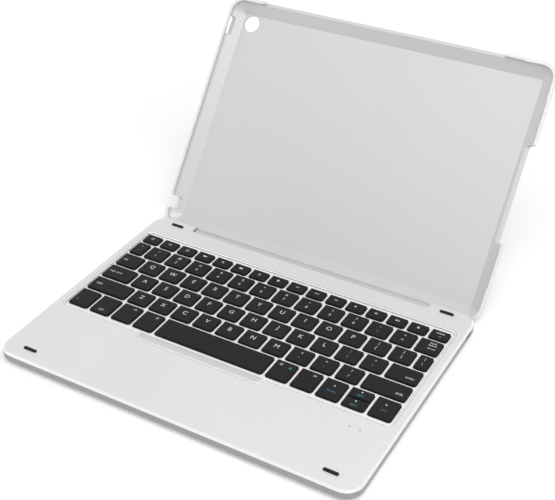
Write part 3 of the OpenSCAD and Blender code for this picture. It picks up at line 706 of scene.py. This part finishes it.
# ------------------------------------------------------------------ legends of the keys of their own
META_MARK = ring(1.2 * MM, 0.35 * MM, 4)
ERASE_ARROW = bar(4.6 * MM, 0.35 * MM, at=(0.6 * MM, 0)) + triangle("left", 0.9 * MM, at=(-1.9 * MM, 0))
BLUE_DOT = ring(1.0 * MM, 0.55 * MM, 16)
ARROW = 1.1 * MM
# white marks and blue ones, each with what it is, its place as shares of the key's width and depth, and,
# where it is words, their size in mm
OWN_KEYS = {
    "grave_key": ([("~", 0.5, 0.72, 3.0), ("`", 0.5, 0.34, 3.6)], []),
    "backspace_key": ([("back", 0.62, 0.78, 2.4), ("space", 0.62, 0.58, 2.4), (ERASE_ARROW, 0.62, 0.36)], []),
    "tab_key": ([("tab", 0.28, 0.5, 2.9)], []),
    "backslash_key": ([("|", 0.5, 0.7, 3.0), ("\\", 0.5, 0.34, 3.2)], []),
    "caps_key": ([("caps lock", 0.36, 0.5, 2.6)], []),
    "enter_key": ([("enter", 0.74, 0.34, 2.7)], []),
    "left_shift_key": ([("shift", 0.2, 0.5, 2.8)], []),
    "right_shift_key": ([("shift", 0.82, 0.34, 2.8)], []),
    "fn_key": ([], [("fn", 0.26, 0.3, 2.8)]),
    "ctrl_key": ([("ctrl", 0.5, 0.2, 2.8)], []),
    "left_alt_key": ([("alt", 0.7, 0.8, 2.4)], []),
    "left_meta_key": ([(META_MARK, 0.72, 0.78)], []),
    "right_meta_key": ([(META_MARK, 0.3, 0.78)], [(BLUE_DOT, 0.74, 0.72)]),
    "right_alt_key": ([("alt", 0.7, 0.8, 2.4)], []),
    "left_arrow_key": ([(triangle("left", ARROW), 0.5, 0.68)], [("home", 0.52, 0.4, 2.5)]),
    "right_arrow_key": ([(triangle("right", ARROW), 0.5, 0.68)], [("end", 0.52, 0.4, 2.5)]),
    "up_arrow_key": ([(triangle("up", ARROW), 0.5, 0.7)], [("pgup", 0.5, 0.3, 2.3)]),
    "down_arrow_key": ([(triangle("down", ARROW), 0.5, 0.7)], [("pgdn", 0.5, 0.3, 2.3)]),
}


def own_key(node, marks, suffix, material):
    """The marks of one colour on one key."""
    lo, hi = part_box(node)
    prints = Prints()
    for what, across, up, *size in marks:
        x = lo[0] + (hi[0] - lo[0]) * across
        y = lo[1] + (hi[1] - lo[1]) * up
        z = hi[2] + LIFT
        if size:
            prints.text(what, size[0] * MM, x, y, z)
        else:
            prints.stamp(what, x, y, z)
    prints.make(node + suffix, node, material)


for node_name, (white_marks, blue_marks) in OWN_KEYS.items():
    if white_marks:
        own_key(node_name, white_marks, "_legend", legend_white)
    if blue_marks:
        own_key(node_name, blue_marks, "_blue", legend_blue)

# ------------------------------------------------------------------ floor, lamps and world
FLOOR_SINK = 0.2 * MM
FLOOR_COLOUR = 0.97
GLOW_START = 0.25  # distance from the middle at which the floor begins to fade into the backdrop
GLOW_END = 1.0
GLOW_NEAR = 0.16
GLOW_FAR = 0.6
WORLD_LIGHT = 0.56
WHITE = 1.0


def backdrop_rays(tree):
    """1 for the rays that show the backdrop itself: camera, glossy and transmission."""
    path = tree.nodes.new("ShaderNodeLightPath")
    total = path.outputs["Is Camera Ray"]
    for ray in ("Is Glossy Ray", "Is Transmission Ray"):
        total = maths(tree, "MAXIMUM", total, path.outputs[ray])
    return total


def floor_material():
    """Matt white that keeps its shadows near the object and fades to white further out."""
    material, tree, shader = new_material("floor")
    shader.inputs["Base Color"].default_value = rgba(FLOOR_COLOUR)
    shader.inputs["Roughness"].default_value = 0.9
    shader.inputs["Specular IOR Level"].default_value = 0.1
    shader.inputs["Emission Color"].default_value = rgba(WHITE)
    texture = tree.nodes.new("ShaderNodeTexCoord")
    reach = tree.nodes.new("ShaderNodeVectorMath")
    reach.operation = "LENGTH"
    tree.links.new(texture.outputs["Object"], reach.inputs[0])
    rise = rescale(tree, reach.outputs["Value"], (GLOW_START, GLOW_END), (GLOW_NEAR, GLOW_FAR))
    rise.interpolation_type = "SMOOTHSTEP"
    glow = maths(tree, "MULTIPLY", backdrop_rays(tree), rise.outputs["Result"])
    tree.links.new(glow, shader.inputs["Emission Strength"])
    return material


def add_floor():
    """A plain pale floor under the feet."""
    bpy.ops.mesh.primitive_plane_add(size=6, location=(0, 0, -FLOOR_SINK))
    floor = bpy.context.object
    floor.name = "floor"
    floor.data.materials.append(floor_material())


def add_lamp(name, spot, target, size, power):
    """A round soft lamp that looks at the target."""
    data = bpy.data.lights.new(name, "AREA")
    data.shape = "DISK"
    data.size = size
    data.energy = power
    lamp = add_object(name, data)
    lamp.location = spot
    aim(lamp, Vector(target) - Vector(spot))


def add_world():
    """Even light on the object, and white for the rays that show the backdrop."""
    world = bpy.data.worlds.new("studio")
    bpy.context.scene.world = world
    world.use_nodes = True
    tree = world.node_tree
    tree.nodes.clear()
    output = tree.nodes.new("ShaderNodeOutputWorld")
    background = tree.nodes.new("ShaderNodeBackground")
    background.inputs["Color"].default_value = rgba(WHITE)
    strength = rescale(tree, backdrop_rays(tree), (0.0, 1.0), (WORLD_LIGHT, WHITE))
    tree.links.new(strength.outputs["Result"], background.inputs["Strength"])
    tree.links.new(background.outputs["Background"], output.inputs["Surface"])


add_floor()
add_lamp("key_light", (0.45, -0.35, 1.15), target=(0.08, -0.1, 0), size=1.0, power=6.4)
add_lamp("fill_light", (-1.0, -0.5, 1.0), target=(0, 0, 0.05), size=1.1, power=1.6)
add_lamp("back_light", (0.2, 1.2, 1.3), target=(0, 0, 0.05), size=1.0, power=1.5)
add_world()

bpy.context.scene.view_settings.view_transform = "Standard"
